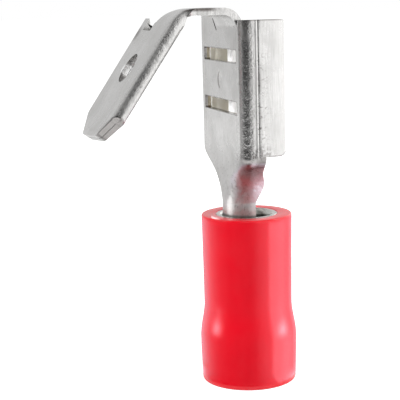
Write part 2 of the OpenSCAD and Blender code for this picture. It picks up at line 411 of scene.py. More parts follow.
    def neck_point(z, u):
        """A point of the neck's trough, u of the way from the receptacle to the barrel. Its floor narrows,
        its bends open and its walls fall, and the sheet's width is shared out along the whole section."""
        f = 0.05 + (fx - 0.05) * (1 - u ** 4) / (1 + (u / 0.31) ** 2.2)
        widest = f + bend + (trough - bend) * (1 - math.exp(-(u / 0.2) ** 2))
        r = bend + (trough - bend) * (1 - math.exp(-(u / 0.36) ** 2))
        spare = widest - f - r
        tall = 0.5 * (spare + math.sqrt(spare * spare + 0.01)) - 0.05
        spare = widest - r - 0.05
        f = 0.05 + 0.5 * (spare + math.sqrt(spare * spare + 0.004))
        w = 0.8 * math.exp(-(u / 0.2) ** 2) + 0.5 * math.exp(-((u - 0.62) / 0.28) ** 2) + tall
        y = floor + (trough - floor) * u

        def at(c):
            share = spread(c) / total * (f + r * math.pi / 2 + w)
            k, d = math.copysign(1, share), abs(share)
            if d <= f:
                return Vector((k * d, -y, z)), Vector((k * d, -y + t, z))
            if d <= f + r * math.pi / 2:
                a = (d - f) / r
                return tuple(Vector((k * (f + q * math.sin(a)), -y + r - q * math.cos(a), z)) for q in (r, r - t))
            h = -y + r + d - f - r * math.pi / 2
            return Vector((k * (f + r), h, z)), Vector((k * (f + r - t), h, z))
        return at

    def barrel_point(z):
        """A point of the rolled barrel, which closes to a butt seam at the back."""
        trough_turn, seam = 1.639, math.radians(178.8)

        def at(c):
            if c[0] == "k":
                a = c[1] * (trough_turn + (seam - trough_turn) * c[2] / back_steps)
            else:
                a = spread(c) / total * trough_turn
            return tuple(Vector((q * math.sin(a), -q * math.cos(a), z)) for q in (barrel_r, barrel_r - t))
        return at

    # receptacle
    zs = [knee_z - 0.3, mouth - mm["slot_in"] + 0.1]
    zs += [hollow_z + 0.1 * i for i in range(6, -7, -1)]
    zs += [mouth - mm["slot_in"] - mm["slot_gap"], 16.6, 15.8, 15.0, 14.5]
    sheet.row("mouth", full, wing_point(mouth, 1))
    sheet.row("knee0", full, wing_point(knee_z))
    for columns in (wing_left + left_of, right_of + wing_right):
        sheet.run(["mouth", "knee0"], columns)
    rows = ["knee0"] + [sheet.row(("z", z), full, wing_point(z)) for z in zs]
    sheet.run(rows + [sheet.row("wings_end", full, wing_point(NECK_TOP, -1))], full)

    # neck and barrel
    steps = 26
    rows = ["wings_end"]
    rows += [sheet.row(("n", i), neck, neck_point(NECK_TOP - i / steps * (NECK_TOP - NECK_FOOT), i / steps))
             for i in range(1, steps + 1)]
    rows += [sheet.row(("n", z), neck, neck_point(z, 1.0)) for z in (10.5, 10.1, 9.75)]
    barrel = [sheet.row(("k", i), round_all, barrel_point(SLEEVE_LEN - 0.85 - mm["barrel_len"] * i / 5))
              for i in range(6)]
    sheet.run(rows + barrel[:1], neck)
    sheet.run(barrel, round_all)

    # bridge: along the strip, each row has a place on both faces and goes from the far edge to the near one
    waist_line = [(tab_y, x0), (sh_y, waist), (sh_y + 0.4 * mm["bridge_len"], waist), (knee_y - 0.1, kx0), (0, kx0)]

    def near_edge(y):
        return kx1 + (x1 - kx1) * ease((sh_y - y) / 0.63)

    def across(c, xa, xb):
        return xa + (c[1] - over[0][1]) / (over[-1][1] - over[0][1]) * (xb - xa)

    def strip_point(lo, hi):
        y = (lo[0] + hi[0]) / 2

        def at(c):
            x = across(c, blend(waist_line, y), near_edge(y))
            return Vector((x, *lo)), Vector((x, *hi))
        return at

    knee_steps, shoulder_steps = 14, 16
    rows = ["knee0"]
    for i in range(1, knee_steps + 1):
        a = math.pi / 2 * i / knee_steps
        lo, hi = [(knee_y + r * math.cos(a), knee_z + r * math.sin(a)) for r in (knee_r - t, knee_r)]
        rows.append(sheet.row(("g", i), over, strip_point(lo, hi)))
    rows += [sheet.row(("h", y), over, strip_point((y, BRIDGE_Z - t), (y, BRIDGE_Z)))
             for y in (knee_y - 0.1, knee_y - 0.35, knee_y - 0.62, knee_y - 0.92, sh_y + 0.3)]

    # over the shoulder the near edge curls down into the tab's fold
    layer = t - 0.015       # each layer of the tab, which leaves a hair of air between them
    squeeze = 0.85          # the folded edges are pressed nearly flat

    def curl(a, r):
        """Sideways and downward reach of the fold at an angle, on a radius."""
        down = math.copysign(abs(math.cos(a)) ** squeeze, math.cos(a))
        return r * math.sin(a) ** squeeze, t - r * down

    def shoulder_point(i):
        a, share = math.pi / 2 + turn * i / shoulder_steps, (i / shoulder_steps) ** 0.75
        y = sh_y + (sh_r - t / 2) * math.cos(a)

        def at(c):
            if c[0] == "o":
                ends = [curl(math.pi * c[2] / fold_steps * share, q) for q in (t - layer, t)]
                xs = [near_edge(y) + e[0] * share ** 0.3 for e in ends]
                rs = [sh_r - e[1] for e in ends]
            else:
                xs = [across(c, blend(waist_line, y), near_edge(y))] * 2
                rs = sh_r - layer, sh_r
            return tuple(Vector((x, sh_y + r * math.cos(a), sh_z + r * math.sin(a))) for x, r in zip(xs, rs))
        return at

    shoulder = [sheet.row(("s", i), over + folds, shoulder_point(i)) for i in range(shoulder_steps)]
    sheet.run(rows + shoulder[:1], over)
    sheet.run(shoulder + [("t", 0.0)], over + folds)

    # tab: two layers folded round both edges
    def tab_world(x, y, z):
        return Vector((x, tab_y + y * math.cos(lean) + z * math.sin(lean),
                       tab_z - y * math.sin(lean) + z * math.cos(lean)))

    def tip(x):
        """Distance of the cut tip from the fold line, with its two corner chamfers."""
        soft = 0.3
        over_by = abs(x) - corner
        run = max(0.0, over_by) if abs(over_by) > soft else (over_by + soft) ** 2 / 4 / soft
        return -tl + skew * max(-1, min(1, x / corner)) + cut_l / cut_w * run

    at_corner = [corner + w for w in (0.3, 0.15, 0, -0.15, -0.3)]
    flap_x = [2.45, 2.1, *at_corner, 0.9, 0.45, 0.03]
    outer_right = folds + [("p", 1, i) for i in range(len(flap_x))]
    outer_left = mirror(outer_right)
    tab_left = [("t", x) for x in (-x1, -2.3, notch_in - tw, *(-x for x in at_corner), -1.0, -0.6)]
    tab_all = outer_left + tab_left + over + outer_right
    cut_from = 5.4          # below the fold line by this much, the rows turn to follow the cut tip
    thin_from = 0.34        # the tip is thinned over this length

    def tab_point(v):
        """v is the distance below the fold line. Near the tip the rows follow the cut."""
        def at(c):
            lo_y, hi_y = layer, 0.0
            if c[0] == "f":
                lo_x = hi_x = across(c, x0, x1)
            elif c[0] == "t":
                lo_x = hi_x = c[1]
            elif c[0] == "o":
                (lo_x, lo_y), (hi_x, hi_y) = (curl(math.pi * c[2] / fold_steps, r) for r in (t - layer, t))
                lo_x, hi_x = c[1] * (x1 + lo_x), c[1] * (x1 + hi_x)
            else:
                lo_x = hi_x = c[1] * flap_x[c[2]]
                lo_y, hi_y = 2 * t - layer, 2 * t
            ends = []
            for x, y, outer in ((lo_x, lo_y, 0), (hi_x, hi_y, 1)):
                if v <= -cut_from:
                    z = -cut_from + (tip(x) + cut_from) * (v + cut_from) / (cut_from - tl)
                    near = max(0.0, 1 - (v + tl) / thin_from)
                    y += (0.09 if y < t else -0.09) * near * outer
                else:
                    z = v
                    if v > -0.3 and c[0] == "p":
                        z = v - 0.2 - (0.1 + max(0, v)) * c[2] / len(flap_x)
                    elif v > 0 and y > 0.6 * t:
                        z = v - (0.2 + max(0, v)) * min(1, (y - 0.6 * t) / (0.4 * t))
                ends.append(tab_world(x, y, z))
            return tuple(ends)
        return at

    # the notch stands between the far corner, which rises a little, and the bridge
    far_corner = outer_left + tab_left[:3]
    sheet.row(("t", 0.3), far_corner, tab_point(0.3))
    rows = [sheet.row(("t", v), tab_all, tab_point(v)) for v in (
        0.0, -0.5, -1.4, -2.2, -3.0, -3.8, -4.6, -cut_from, -5.9, -6.5, -tl + thin_from, -tl + 0.16, -tl)]
    sheet.run([("t", 0.3), *rows[:2]], far_corner)
    sheet.run(rows[:2], over + outer_right)
    sheet.run(rows[1:], tab_all)
    piece = sheet.piece("terminal_strip")

    # punched shapes
    cutters = []
    slots = [mouth - mm["slot_in"] - k * mm["slot_gap"] for k in (0, 1)]
    hole_r = 0.93 * mm["hole"] / 2      # the punched edge is drawn in a little
    w, h, r = mm["slot_half"], mm["slot_height"] / 2, 0.15
    outline = [p for cx, cy, a in ((w - r, h - r, 0), (r - w, h - r, 90), (r - w, r - h, 180), (w - r, r - h, 270))
               for p in arc(cx, cy, r, a, a + 90, 6)]
    for k, z in enumerate(slots):
        cutters.append(prism(f"slot_{k}", outline, -floor - 0.5, -floor + 0.9,
                             lambda u, v, q, z=z: (u, q, z + v)))
    ring = arc(0, 0, hole_r, 0, 360, 64)[:-1]
    cutters.append(prism("hole", ring, -0.5, 2 * t + 0.5,
                         lambda u, v, q: tab_world(u, q, mm["hole_in"] - tl + v)))
    slit = [(-0.42, -0.62), (-0.52, -0.66), (-1.55, 0.35), (-1.35, 0.35)]
    cutters.append(prism("slit", slit, -floor - 0.5, -floor + 0.6, lambda u, v, q: (u, q, mouth + v)))
    cut(piece, cutters)
    round_edges(piece, s.edge / MM)
    out = Vector((cut_l, -cut_w * math.sin(lean), -cut_w * math.cos(lean))).normalized()
    spots = {"axis": tab_world(0, 1, 0) - tab_world(0, 0, 0), "hole": tab_world(0, t, mm["hole_in"] - tl),
             "hole_r": hole_r, "glint": tab_world(-0.95, 0.25, mm["hole_in"] - tl - 0.1),
             "chamfer": out, "chamfer_at": out.dot(tab_world(corner, t, skew - tl)), "detent_z": hollow_z,
             "slots": slots, "slot_w": mm["slot_half"], "slot_h": mm["slot_height"] / 2 + s.edge / MM}
    return piece, spots


def ring_card(name, stops, line, spots):
    """A card round the object. Stops are its tone by angle; each point of the line gives a radius,
    a height and its share of the tone; a spot is an angle, a height, two spreads and an added tone."""
    steps = []
    for (a0, v0), (a1, v1) in zip(stops, stops[1:]):
        n = max(2, round((a1 - a0) / 3))
        steps += [(a0 + (a1 - a0) * i / n, v0 + (v1 - v0) * i / n) for i in range(n)]
    steps.append(stops[-1])
    n = len(line)
    mesh = bpy.data.meshes.new(name)
    mesh.from_pydata([(r * math.cos(math.radians(a)), r * math.sin(math.radians(a)), z)
                      for a, v in steps for r, z, share in line], [],
                     [[i * n + k, i * n + k + 1, (i + 1) * n + k + 1, (i + 1) * n + k]
                      for i in range(len(steps) - 1) for k in range(n - 1)])
    tone = mesh.attributes.new("tone", "FLOAT", "POINT")
    tone.data.foreach_set("value", [
        v * share + sum(k * math.exp(-((a - sa) / da) ** 2 - ((z - sz) / dz) ** 2) for sa, sz, da, dz, k in spots)
        for a, v in steps for r, z, share in line])
    return bpy.data.objects.new(name, mesh)


# --- materials

def add(tree, kind, links=None, **settings):
    """Adds a node, sets its properties or inputs, and links its inputs to outputs, or to the first
    output where a node is given."""
    node = tree.nodes.new("ShaderNode" + kind)
    for key, value in settings.items():
        if hasattr(node, key) and key not in node.inputs:
            setattr(node, key, value)
        else:
            socket = int(key[1:]) if key[0] == "i" and key[1:].isdigit() else key.replace("_", " ")
            node.inputs[socket].default_value = value
    for key, source in (links or {}).items():
        tree.links.new(getattr(source, "outputs", [source])[0], node.inputs[key])
    return node


def start(name):
    """A new material with only a position on the piece, in millimetres."""
    material = bpy.data.materials.new(name)
    material.use_nodes = True
    tree = material.node_tree
    tree.nodes.clear()
    where = add(tree, "TexCoord").outputs["Object"]
    mm = add(tree, "VectorMath", {0: where}, operation="SCALE", Scale=1000.0)
    return material, tree, mm


def rgba(c):
    return (*c, 1.0)


def tin_material(finish, spots):
    """Tin plate on stamped brass strip: bright, a little satin, with fine rolling lines along the
    strip, soft smudges from handling and a few rub marks. The lines are near 0.01 mm apart on the
    real strip and are drawn at 0.06 mm, so that they show. Smudges are about 1.8 mm across and the
    plate's grain 0.25 mm."""
    material, tree, mm = start("tin_plated_brass")
    smudge = add(tree, "TexNoise", {"Vector": mm}, Scale=0.55, Detail=3.0, Roughness=0.55)
    fine = add(tree, "TexNoise", {"Vector": mm}, Scale=4.0, Detail=4.0, Roughness=0.6)
    long = add(tree, "VectorMath", {0: mm}, operation="MULTIPLY", i1=(16.0, 16.0, 1.1))
    lines = add(tree, "TexNoise", {"Vector": long}, Scale=1.0, Detail=2.0, Roughness=0.5)
    mixed = add(tree, "Mix", {0: fine, 2: smudge, 3: lines}, data_type="FLOAT")
    shade = add(tree, "MapRange", {0: mixed}, i1=0.35, i2=0.68, i3=0.0, i4=1.0)
    plate = add(tree, "Mix", {0: shade}, data_type="RGBA", i6=rgba(finish.tin), i7=rgba(finish.tin_dull))

    # what the marks and painted shade are placed by: the axes, the distance from a few places, and three grains, of
    # strokes 0.1 to 0.3 mm, a jumble of 0.3 mm and specks of 0.17 mm
    axes = add(tree, "SeparateXYZ", {0: mm}).outputs
    side = add(tree, "Math", {0: axes[0]}, operation="ABSOLUTE")
    measure = {"x": axes[0], "y": axes[1], "z": axes[2], "side": side, "smudge": smudge}
    for name, point in (("notch", (-2.6, -5.5, 20.9)), ("curl", (2.35, -4.15, 22.15)),
                        ("fold", (3.55, -0.35, 13.75)), ("fold_low", (3.45, -1.0, 13.75)),
                        ("gathered_shade", (3.3, -0.6, 13.9)), ("detent", (0.1, -1.5, spots["detent_z"])),
                        ("painted_bore_glint", tuple(spots["glint"]))):
        gap = add(tree, "VectorMath", {0: mm}, operation="DISTANCE", i1=point)
        measure[name] = gap.outputs["Value"]
    shear = add(tree, "VectorMath", {0: mm}, operation="DOT_PRODUCT", i1=tuple(spots["chamfer"]))
    measure["shear"] = shear.outputs["Value"]
    bore = mm
    for how, point in (("SUBTRACT", spots["hole"]), ("CROSS_PRODUCT", spots["axis"]), ("LENGTH", (0, 0, 0))):
        bore = add(tree, "VectorMath", {0: bore}, operation=how, i1=tuple(point))
    measure["bore"] = bore.outputs["Value"]
    rise = add(tree, "MapRange", {0: axes[1]}, i1=0.9, i2=1.9, i3=0.0, i4=0.445)
    wing_cut = add(tree, "Math", {0: axes[2], 1: rise}, operation="SUBTRACT")
    measure["wing_cut"] = wing_cut
    strokes = add(tree, "VectorMath", {0: mm}, operation="MULTIPLY", i1=(2.0, 3.0, 5.5))
    for name, where, scale, detail, twist in (("strokes", strokes, 1.6, 3.0, 0.8),
                                              ("jumble", mm, 3.6, 3.0, 1.2), ("specks", mm, 6.0, 2.0, 0.0)):
        grain = add(tree, "TexNoise", {"Vector": where}, Scale=scale, Detail=detail, Distortion=twist)
        measure[name] = grain

    # each mask goes from one value to another as its measure crosses a span, in millimetres
    mask = {}
    for name, by, start_at, end_at, before, after in (
            ("inner", "side", 3.52, 3.62, 1, 0),
            ("above_floor", "y", -1.14, -1.1, 0, 1),
            ("below_rolls", "y", 0.7, 1, 1, 0),
            ("over_neck", "z", NECK_TOP - 0.2, NECK_TOP + 0.4, 0, 1),
            ("under_mouth", "z", BRIDGE_Z - 1.5, BRIDGE_Z - 1.1, 1, 0),
            ("coil", "side", 3.1, 3.3, 1, 0),
            ("slot_wall", "side", 3.0, 3.1, 0.9, 0),
            ("satin", "smudge", 0.3, 0.7, 0.2, 0.34),
            ("foot", "z", NECK_TOP + 0.2, NECK_TOP - 0.8, 0, 0.14),
            ("drawn", "side", 2.75, 2.85, 0, 1),
            ("drawn_low", "y", -0.85, -0.7, 1, 0.1),
            ("necked", "z", NECK_TOP + 0.6, NECK_TOP - 0.3, 0, 1),
            ("strokes", "strokes", 0.56, 0.68, 0, 0.8),
            ("wall", "side", 3.78, 3.84, 0, 1),
            ("beside", "y", -0.45, 0.25, 1, 0),
            ("after_crease", "y", -0.6, -0.54, 0.15, 1),
            ("along", "z", 20.4, 18.6, 0.15, 1),
            ("gathered_shade", "gathered_shade", 0.5, 1.3, 1, 0),
            ("jumble", "jumble", 0.44, 0.56, 0, 1),
            ("specks", "specks", 0.58, 0.72, 0, 0.4),
            # the notch, curl, fold and low fold spans place painted shade, the foot span a painted shadow line;
            # shear and bore darken cut metal and add painted shade
            ("notch", "notch", 0.3, 0.7, 0.9, 0),
            ("curl", "curl", 0.2, 0.45, 0.9, 0),
            ("fold", "fold", 0.3, 0.75, 0.9, 0),
            ("fold_low", "fold_low", 0.4, 1, 0.55, 0),
            ("foot_shadow_line", "z", SLEEVE_LEN + 0.02, SLEEVE_LEN + 0.14, 0.85, 0),
            ("shear", "shear", spots["chamfer_at"] - 0.1, spots["chamfer_at"] - 0.04, 0, 0.62),
            ("bore", "bore", spots["hole_r"] + 0.02, spots["hole_r"] + 0.06, 0.15, 0),
            ("on_tab", "y", -4.5, -4.0, 1, 0),
            ("wing_edge", "wing_cut", NECK_TOP + 0.02, NECK_TOP + 0.1, 0.7, 0),
            ("on_wings", "y", -0.05, 0.05, 0, 1),
            ("at_wings", "z", NECK_TOP - 0.1, NECK_TOP - 0.02, 0, 1),
            ("outside", "y", -1.38, -1.3, 0.6, 0),
            ("slot_width", "side", spots["slot_w"] + 0.06, spots["slot_w"] + 0.09, 1, 0),
            ("on_floor", "y", -1.8, -1.6, 0, 1),
            ("one_side", "x", -0.15, 0.05, 0.6, 0),
            ("bridge_rim", "z", BRIDGE_Z - 0.22, BRIDGE_Z - 0.1, 0, 1),
            ("past_bend", "y", -3.0, -2.4, 1, 0),
            ("near_edge", "x", 2.55, 2.7, 0, 1),
            ("mouth_rim", "z", BRIDGE_Z - 0.8, BRIDGE_Z - 0.72, 0, 0.7),
            ("at_mouth", "y", -1.1, -1, 0, 1),
            ("painted_bore_glint", "painted_bore_glint", 0.3, 0.42, 1, 0)):
        span = add(tree, "MapRange", {0: measure[by]}, i1=start_at, i2=end_at, i3=before, i4=after)
        mask[name] = span
    for name, by, middle, reach in (("floor_wall", "y", -1.24, 0.1), ("detent_shade_line", "detent", 0.5, 0.05),
                                    ("upper_slot", "z", spots["slots"][0], spots["slot_h"]),
                                    ("lower_slot", "z", spots["slots"][1], spots["slot_h"])):
        band = add(tree, "Math", {0: measure[by]}, operation="COMPARE", i1=middle, i2=reach)
        mask[name] = band

    # masks that bound each other, and the marks and painted shade, which take the strongest of theirs
    for name, groups in (
            ("cavity", [("inner", "above_floor", "under_mouth", "below_rolls", "over_neck")]),
            ("punched", [("slot_wall", "floor_wall", "over_neck")]),
            ("rough_bends", [("drawn", "drawn_low"), ("necked",)]),
            # short press marks beside the crease along each wall, a jumble of painted shade where the wall gathers
            # above the neck, and specks on the neck
            ("marks_and_shade", [("strokes", "wall", "beside", "after_crease", "along"), ("gathered_shade", "jumble"),
                       ("specks", "necked"),
                       # darker lines along the rims of the bridge and the mouth
                       ("bridge_rim", "past_bend", "near_edge"), ("mouth_rim", "at_mouth"),
                       # painted shade at the notch, the curl and the wings' lower ends, a painted shadow line at
                       # the neck's foot, the sheared tip, bare cut metal darkened further as a painted reflection
                       # of shaded floor, and the bore's wall, darkened as painted shade
                       ("notch",), ("curl",), ("fold",), ("fold_low",), ("foot_shadow_line",),
                       ("shear", "on_tab"), ("bore", "on_tab"),
                       # sheared lower edges of the wings, and the slots' dark outer rims
                       ("wing_edge", "on_wings", "at_wings"),
                       ("upper_slot", "outside", "slot_width", "on_floor"),
                       ("lower_slot", "outside", "slot_width", "on_floor"),
                       # a thin line of painted shade on one side of the detent, where its dish turns from the light
                       ("detent_shade_line", "one_side")])):
        whole = None
        for group in groups:
            level = mask[group[0]]
            for part in group[1:]:
                level = add(tree, "Math", {0: level, 1: mask[part]}, operation="MULTIPLY")
            if whole:
                level = add(tree, "Math", {0: whole, 1: level}, operation="MAXIMUM")
            whole = level
        mask[name] = whole
    marks_and_shade = add(tree, "Math", {0: mask["marks_and_shade"]}, operation="MULTIPLY", i1=0.85)

    # within the receptacle the plate is thin and dull, and the brass shows through; the colour there is also lifted
    # to near white as painted light, to brighten the cavity's shade
    inside = add(tree, "Mix", {0: mask["coil"]}, data_type="RGBA", i6=rgba(finish.inside), i7=WHITE)
    tone = add(tree, "Mix", {0: mask["cavity"], 6: plate.outputs[2], 7: inside.outputs[2]}, data_type="RGBA")
    # the last of these paints white on the far wall of the tab's hole: a painted glint of light through the hole
    for level, paint in ((mask["punched"], rgba(finish.punched)), (marks_and_shade, rgba(finish.mark)),
                         (mask["painted_bore_glint"], WHITE)):
        tone = add(tree, "Mix", {0: level, 6: tone.outputs[2]}, data_type="RGBA", i7=paint)
    rough = add(tree, "Mix", {0: mask["cavity"], 2: mask["satin"]}, data_type="FLOAT", i3=0.4)
    rough = add(tree, "Math", {0: rough, 1: mask["foot"]}, operation="ADD")

    # drawn bends are rougher than the flats: the press grips the metal there
    wave = add(tree, "Math", {0: fine, 1: mask["rough_bends"]}, operation="MULTIPLY")
    bump = add(tree, "Bump", {"Height": lines}, Strength=0.06, Distance=0.00002)
    waves = add(tree, "Bump", {"Height": wave, "Normal": bump}, Strength=0.45, Distance=0.00006)
    dents = add(tree, "Bump", {"Height": smudge, "Normal": waves}, Strength=0.25, Distance=0.0001)
    shader = add(tree, "BsdfPrincipled", {"Base Color": tone.outputs[2], "Roughness": rough, "Normal": dents},
                 Metallic=1.0)
    add(tree, "OutputMaterial", {"Surface": shader})
    return material


def ferrule_material(finish):
    """Tin plate on a drawn ferrule: smoother than the strip, with clouds of about 1 mm and faint lines
    round it from the die, near 0.01 mm apart and drawn at 0.07 mm, so that they show."""
    material, tree, mm = start("tin_plated_ferrule")
    cloud = add(tree, "TexNoise", {"Vector": mm}, Scale=0.9, Detail=3.0)
    long = add(tree, "VectorMath", {0: mm}, operation="MULTIPLY", i1=(0.8, 0.8, 14.0))
    lines = add(tree, "TexNoise", {"Vector": long}, Scale=1.0, Detail=2.0)
    mixed = add(tree, "Mix", {0: cloud}, data_type="RGBA", i6=rgba(finish.ferrule_tin), i7=rgba(finish.tin_dull))
    # painted shadow darkens the corner where the barrel is pressed in
    across = add(tree, "VectorMath", {0: mm}, operation="MULTIPLY", i1=(1.0, 1.0, 0.0))
    across = add(tree, "VectorMath", {0: across}, operation="LENGTH")
    corner = add(tree, "MapRange", {0: across.outputs["Value"]}, i1=1.4, i2=1.5, i3=0.5, i4=0.0)
    # crumbs of plate near 0.25 mm that the pressing leaves on the rim
    crumbs = add(tree, "TexNoise", {"Vector": mm}, Scale=4.0, Detail=2.0)
    crumbs = add(tree, "MapRange", {0: crumbs}, i1=0.54, i2=0.66, i3=0.0, i4=0.7)
    for dark in (corner, crumbs):
        mixed = add(tree, "Mix", {0: dark, 6: mixed.outputs[2]}, data_type="RGBA", i7=rgba(finish.mark))
    rough = add(tree, "MapRange", {0: cloud}, i1=0.3, i2=0.7, i3=0.08, i4=0.18)
    bump = add(tree, "Bump", {"Height": lines}, Strength=0.08, Distance=0.00002)
    shader = add(tree, "BsdfPrincipled", {"Base Color": mixed.outputs[2], "Roughness": rough, "Normal": bump},
                 Metallic=1.0)
    add(tree, "OutputMaterial", {"Surface": shader})
    return material


def pvc_material(finish):
    """Moulded PVC: a strong even red with a half gloss, clouded over about 3 mm, and with a faint flow
    of about 1 mm from the tool. Its orange peel, near 0.05 mm, is drawn as part of the roughness."""
    material, tree, mm = start("moulded_red_pvc")
    cloud = add(tree, "TexNoise", {"Vector": mm}, Scale=0.35, Detail=3.0)
    peel = add(tree, "TexNoise", {"Vector": mm}, Scale=1.0, Detail=1.0, Roughness=0.5)
    mixed = add(tree, "Mix", {0: cloud}, data_type="RGBA", i6=rgba(finish.red), i7=rgba(finish.red_deep))
    rough = add(tree, "MapRange", {0: peel}, i1=0.3, i2=0.7, i3=0.19, i4=0.25)
    bump = add(tree, "Bump", {"Height": peel}, Strength=0.2, Distance=0.00002)
    shader = add(tree, "BsdfPrincipled", {"Base Color": mixed.outputs[2], "Roughness": rough, "Normal": bump},
                 IOR=1.5)
    add(tree, "OutputMaterial", {"Surface": shader})
    return material


def floor_material(finish):
    """Matt pale card with a faint mottle of 20 mm. What the camera, metal and glass see of it is
    lifted to white, and it keeps the shadow."""
    material, tree, mm = start("pale_studio_card")
    grain = add(tree, "TexNoise", {"Vector": mm}, Scale=0.05, Detail=2.0)
    tone = add(tree, "Mix", {0: grain}, data_type="RGBA",
               i6=rgba(finish.floor), i7=rgba(tuple(0.98 * c for c in finish.floor)))
    shader = add(tree, "BsdfDiffuse", {"Color": tone.outputs[2]})
    path = add(tree, "LightPath")
    mirror = add(tree, "Math", {0: path.outputs["Is Glossy Ray"], 1: path.outputs["Is Transmission Ray"]},
                 operation="MAXIMUM")
    mirror = add(tree, "Math", {0: mirror}, operation="MULTIPLY", i1=0.42)
    lift = add(tree, "Math", {0: path.outputs["Is Camera Ray"], 2: mirror}, operation="MULTIPLY_ADD", i1=0.7)
    glow = add(tree, "Emission", {"Strength": lift})
    both = add(tree, "AddShader", {0: shader, 1: glow})
    add(tree, "OutputMaterial", {"Surface": both})
    return material


def card_material(name, tint):
    """Card that stands beside the object, even but for a soft mottle of 5 mm. Its mesh gives its tone."""
    material, tree, mm = start(name)
    felt = add(tree, "TexNoise", {"Vector": mm}, Scale=0.2, Detail=2.0)
    mottle = add(tree, "MapRange", {0: felt}, i1=0.3, i2=0.7, i3=0.95, i4=1.05)
    tone = add(tree, "Attribute", attribute_name="tone")
    tone = add(tree, "Math", {0: tone.outputs["Fac"], 1: mottle}, operation="MULTIPLY")
    glow = add(tree, "Emission", {"Strength": tone}, Color=rgba(tint))
    add(tree, "OutputMaterial", {"Surface": glow})
    return material


# --- operators

class TERMINAL_OT_strip(bpy.types.Operator):
    """Builds the folded strip: receptacle, bridge, male tab, neck and crimp barrel"""
    bl_idname = "terminal.strip"
    bl_label = "Folded strip"

    def execute(self, context):
        scene = context.scene
        piece, spots = build_strip(scene.terminal_strip)
        place(piece, "terminal_body", tin_material(scene.terminal_finish, spots))
        return {"FINISHED"}


class TERMINAL_OT_ferrule(bpy.types.Operator):
    """Builds the support ferrule that lines the sleeve"""
    bl_idname = "terminal.ferrule"
    bl_label = "Support ferrule"

    def execute(self, context):
        scene = context.scene
        s = scene.terminal_sleeve
        inner = scene.terminal_strip.barrel / MM / 2
        r, low = s.ferrule / MM / 2, s.ferrule_low / MM / 2
        end, top, e = 0.07 * SLEEVE_LEN, SLEEVE_LEN, 0.06
        profile = [(inner, FLARE_TOP - 0.25), (inner, top - 0.42), (inner + 0.03, top - 0.28),
                   (inner + 0.12, top - e)]
        profile += arc(inner + 0.22, top - e, e, 150, 90, 3) + arc(r - e, top - e, e, 90, 0, 4)
        profile += [(r, FLARE_TOP + 0.15), (r + 0.02, FLARE_TOP + 0.05)]
        profile += [(low - 0.03, FLARE_FOOT + 0.08), (low, FLARE_FOOT - 0.05)]
        for x, start, stop in ((low - 0.05, 0, -90), (low - 0.33, -90, -180)):
            profile += arc(x, end + 0.05, 0.05, start, stop, 3)
        profile += [(low - 0.38, FLARE_FOOT - 0.2), (low - 0.4, FLARE_FOOT - 0.1)]
        piece = lathe("ferrule_tube", profile, s.segments)
        place(piece, "support_ferrule", ferrule_material(scene.terminal_finish))
        return {"FINISHED"}


class TERMINAL_OT_sleeve(bpy.types.Operator):
    """Builds the moulded insulating sleeve"""
    bl_idname = "terminal.sleeve"
    bl_label = "Insulating sleeve"

    def execute(self, context):
        scene = context.scene
        s = scene.terminal_sleeve
        clear = 0.006       # keeps the bulge inside the frame's box
        rim, waist, bulge = s.rim / MM / 2, s.waist / MM / 2, s.bulge / MM / 2 - clear
        r, low = s.ferrule / MM / 2, s.ferrule_low / MM / 2
        bulge_z, waist_z = 0.26 * SLEEVE_LEN, 0.47 * SLEEVE_LEN

        def radius(z):
            if z > waist_z:
                return waist + (rim - waist) * ((z - waist_z) / (SLEEVE_LEN - waist_z)) ** 1.3
            if z > bulge_z:
                return bulge - (bulge - waist) * ease((z - bulge_z) / (waist_z - bulge_z))
            return bulge - 0.08 * ((bulge_z - z) / bulge_z) ** 1.6

        e, lip, bore_lip = 0.14, 0.1, 0.06      # moulded edge rounds: foot, rim and bore
        profile = arc(low + 0.13, 0.07, 0.07, 180, 270, 3) + arc(radius(e) - e, e, e, -90, 0, 6)
        heights = [e + (waist_z - e) * i / 36 for i in range(1, 37)]
        heights += [waist_z + (SLEEVE_LEN - lip - waist_z) * i / 14 for i in range(1, 14)]
        profile += [(radius(z), z) for z in heights]
        profile += arc(radius(SLEEVE_LEN) - lip, SLEEVE_LEN - lip, lip, 0, 90, 5)
        profile += arc(r + bore_lip, SLEEVE_LEN - bore_lip, bore_lip, 90, 180, 3)
        profile += [(r, FLARE_TOP), (low, FLARE_FOOT), (low, 0.35)]
        piece = lathe("sleeve_shell", profile, s.segments)
        place(piece, "insulating_sleeve", pvc_material(scene.terminal_finish))
        return {"FINISHED"}


